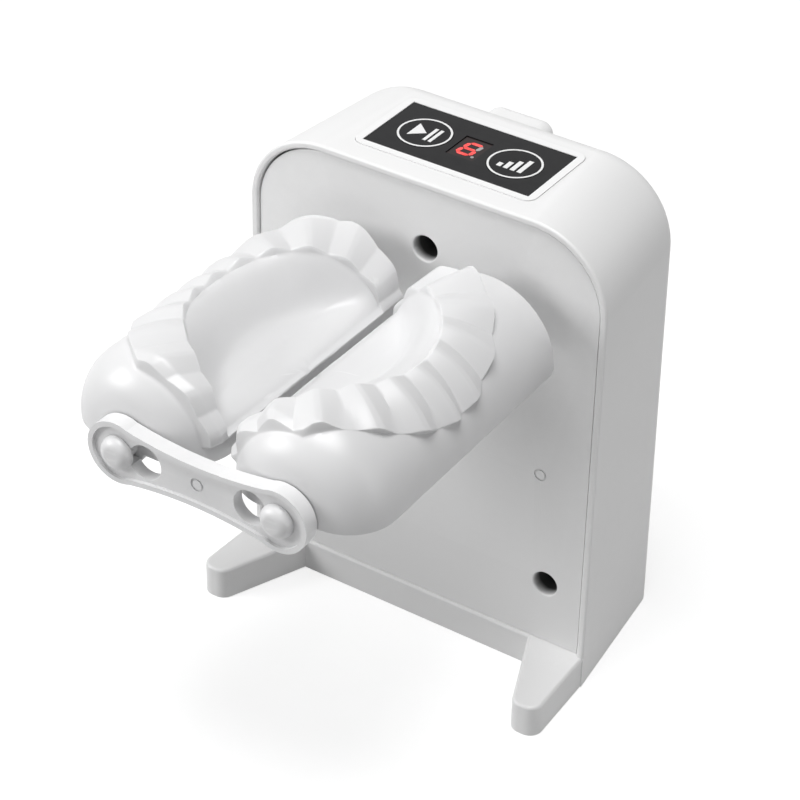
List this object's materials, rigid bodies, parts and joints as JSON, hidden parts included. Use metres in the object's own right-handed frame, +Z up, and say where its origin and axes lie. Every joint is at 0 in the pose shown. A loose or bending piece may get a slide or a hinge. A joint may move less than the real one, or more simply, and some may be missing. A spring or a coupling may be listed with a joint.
{
  "type": "dumpling maker",
  "caption": "Countertop electric dumpling maker: a pair of geared half-moon mould rollers with pleated rims, joined at the front by a keyhole bar and driven from an upright battery housing.",
  "frame": {"origin": "centre of the base underside, on the middle plane, below the middle of the housing", "axes": "+Z up, -Y towards the front where the moulds reach out, +X to the right seen from the front"},
  "size_m": [0.1172, 0.1573, 0.1492],
  "materials": {
    "housing_white": "satin",
    "plate_grey": "matt",
    "mould_white": "satin",
    "port_white": "satin",
    "film_black": "gloss",
    "display_dark": "gloss",
    "steel": "brushed",
    "brass": "turned",
    "gear_white": "moulded",
    "inner_black": "moulded",
    "board_green": "soldered",
    "cell_wrap": "film wrap"
  },
  "bodies": {
    "housing": {"housing_shell": "housing_white", "front_plate": "plate_grey", "base_stand": "housing_white", "base_bottom_plate": "housing_white", "base_screws": "steel", "plate_screws": "steel", "gear_bracket": "steel", "bracket_screws": "steel", "gearbox": "inner_black", "motor_can": "steel", "gearbox_screws": "steel", "front_bushes": "brass", "rear_bushes": "brass", "panel_frame": "housing_white", "panel_film": "film_black", "tact_switches": "inner_black", "display_module": "display_dark", "control_board": "board_green", "board_screws": "steel", "battery_tray": "inner_black", "battery_cell": "cell_wrap", "battery_contacts": "steel", "port_housing": "port_white", "charging_port": "steel"},
    "left_drive": {"left_spindle": "steel", "left_gear": "gear_white"},
    "right_drive": {"right_spindle": "steel", "right_gear": "gear_white"},
    "pinion": {"drive_pinion": "gear_white", "output_shaft": "steel"},
    "bar": {"connecting_bar": "mould_white"},
    "left_roller": {"left_mould": "mould_white", "left_mould_cover": "mould_white", "left_drive_socket": "gear_white", "left_front_pin": "mould_white"},
    "right_roller": {"right_mould": "mould_white", "right_mould_cover": "mould_white", "right_drive_socket": "gear_white", "right_front_pin": "mould_white"},
    "start_key": {"start_button": "film_black"},
    "mode_key": {"mode_button": "film_black"}
  },
  "joints": [
    {"name": "mould_set_pull", "type": "slide", "parent": "housing", "child": "bar", "axis": [0, -1, 0], "range_m": [0, 0.012]},
    {"name": "left_roller_spin", "type": "hinge", "parent": "bar", "child": "left_roller", "pos_m": [-0.025, 0, 0.1105], "axis": [0, -1, 0], "continuous": true},
    {"name": "right_roller_spin", "type": "hinge", "parent": "bar", "child": "right_roller", "pos_m": [0.025, 0, 0.1105], "axis": [0, -1, 0], "continuous": true},
    {"name": "left_drive_spin", "type": "hinge", "parent": "housing", "child": "left_drive", "pos_m": [-0.025, 0, 0.1105], "axis": [0, -1, 0], "continuous": true},
    {"name": "right_drive_spin", "type": "hinge", "parent": "housing", "child": "right_drive", "pos_m": [0.025, 0, 0.1105], "axis": [0, -1, 0], "continuous": true},
    {"name": "pinion_spin", "type": "hinge", "parent": "housing", "child": "pinion", "pos_m": [-0.004, 0, 0.08504], "axis": [0, -1, 0], "continuous": true},
    {"name": "start_press", "type": "slide", "parent": "housing", "child": "start_key", "axis": [0, 0, -1], "range_m": [0, 0.0005], "stiffness_N_per_m": 500},
    {"name": "mode_press", "type": "slide", "parent": "housing", "child": "mode_key", "axis": [0, 0, -1], "range_m": [0, 0.0005], "stiffness_N_per_m": 500}
  ],
  "couplings": [
    {"joint": "right_roller_spin", "follows": "left_roller_spin", "ratio": -1},
    {"joint": "left_drive_spin", "follows": "left_roller_spin", "ratio": 1},
    {"joint": "right_drive_spin", "follows": "left_roller_spin", "ratio": -1},
    {"joint": "pinion_spin", "follows": "left_roller_spin", "ratio": -3.125}
  ]
}
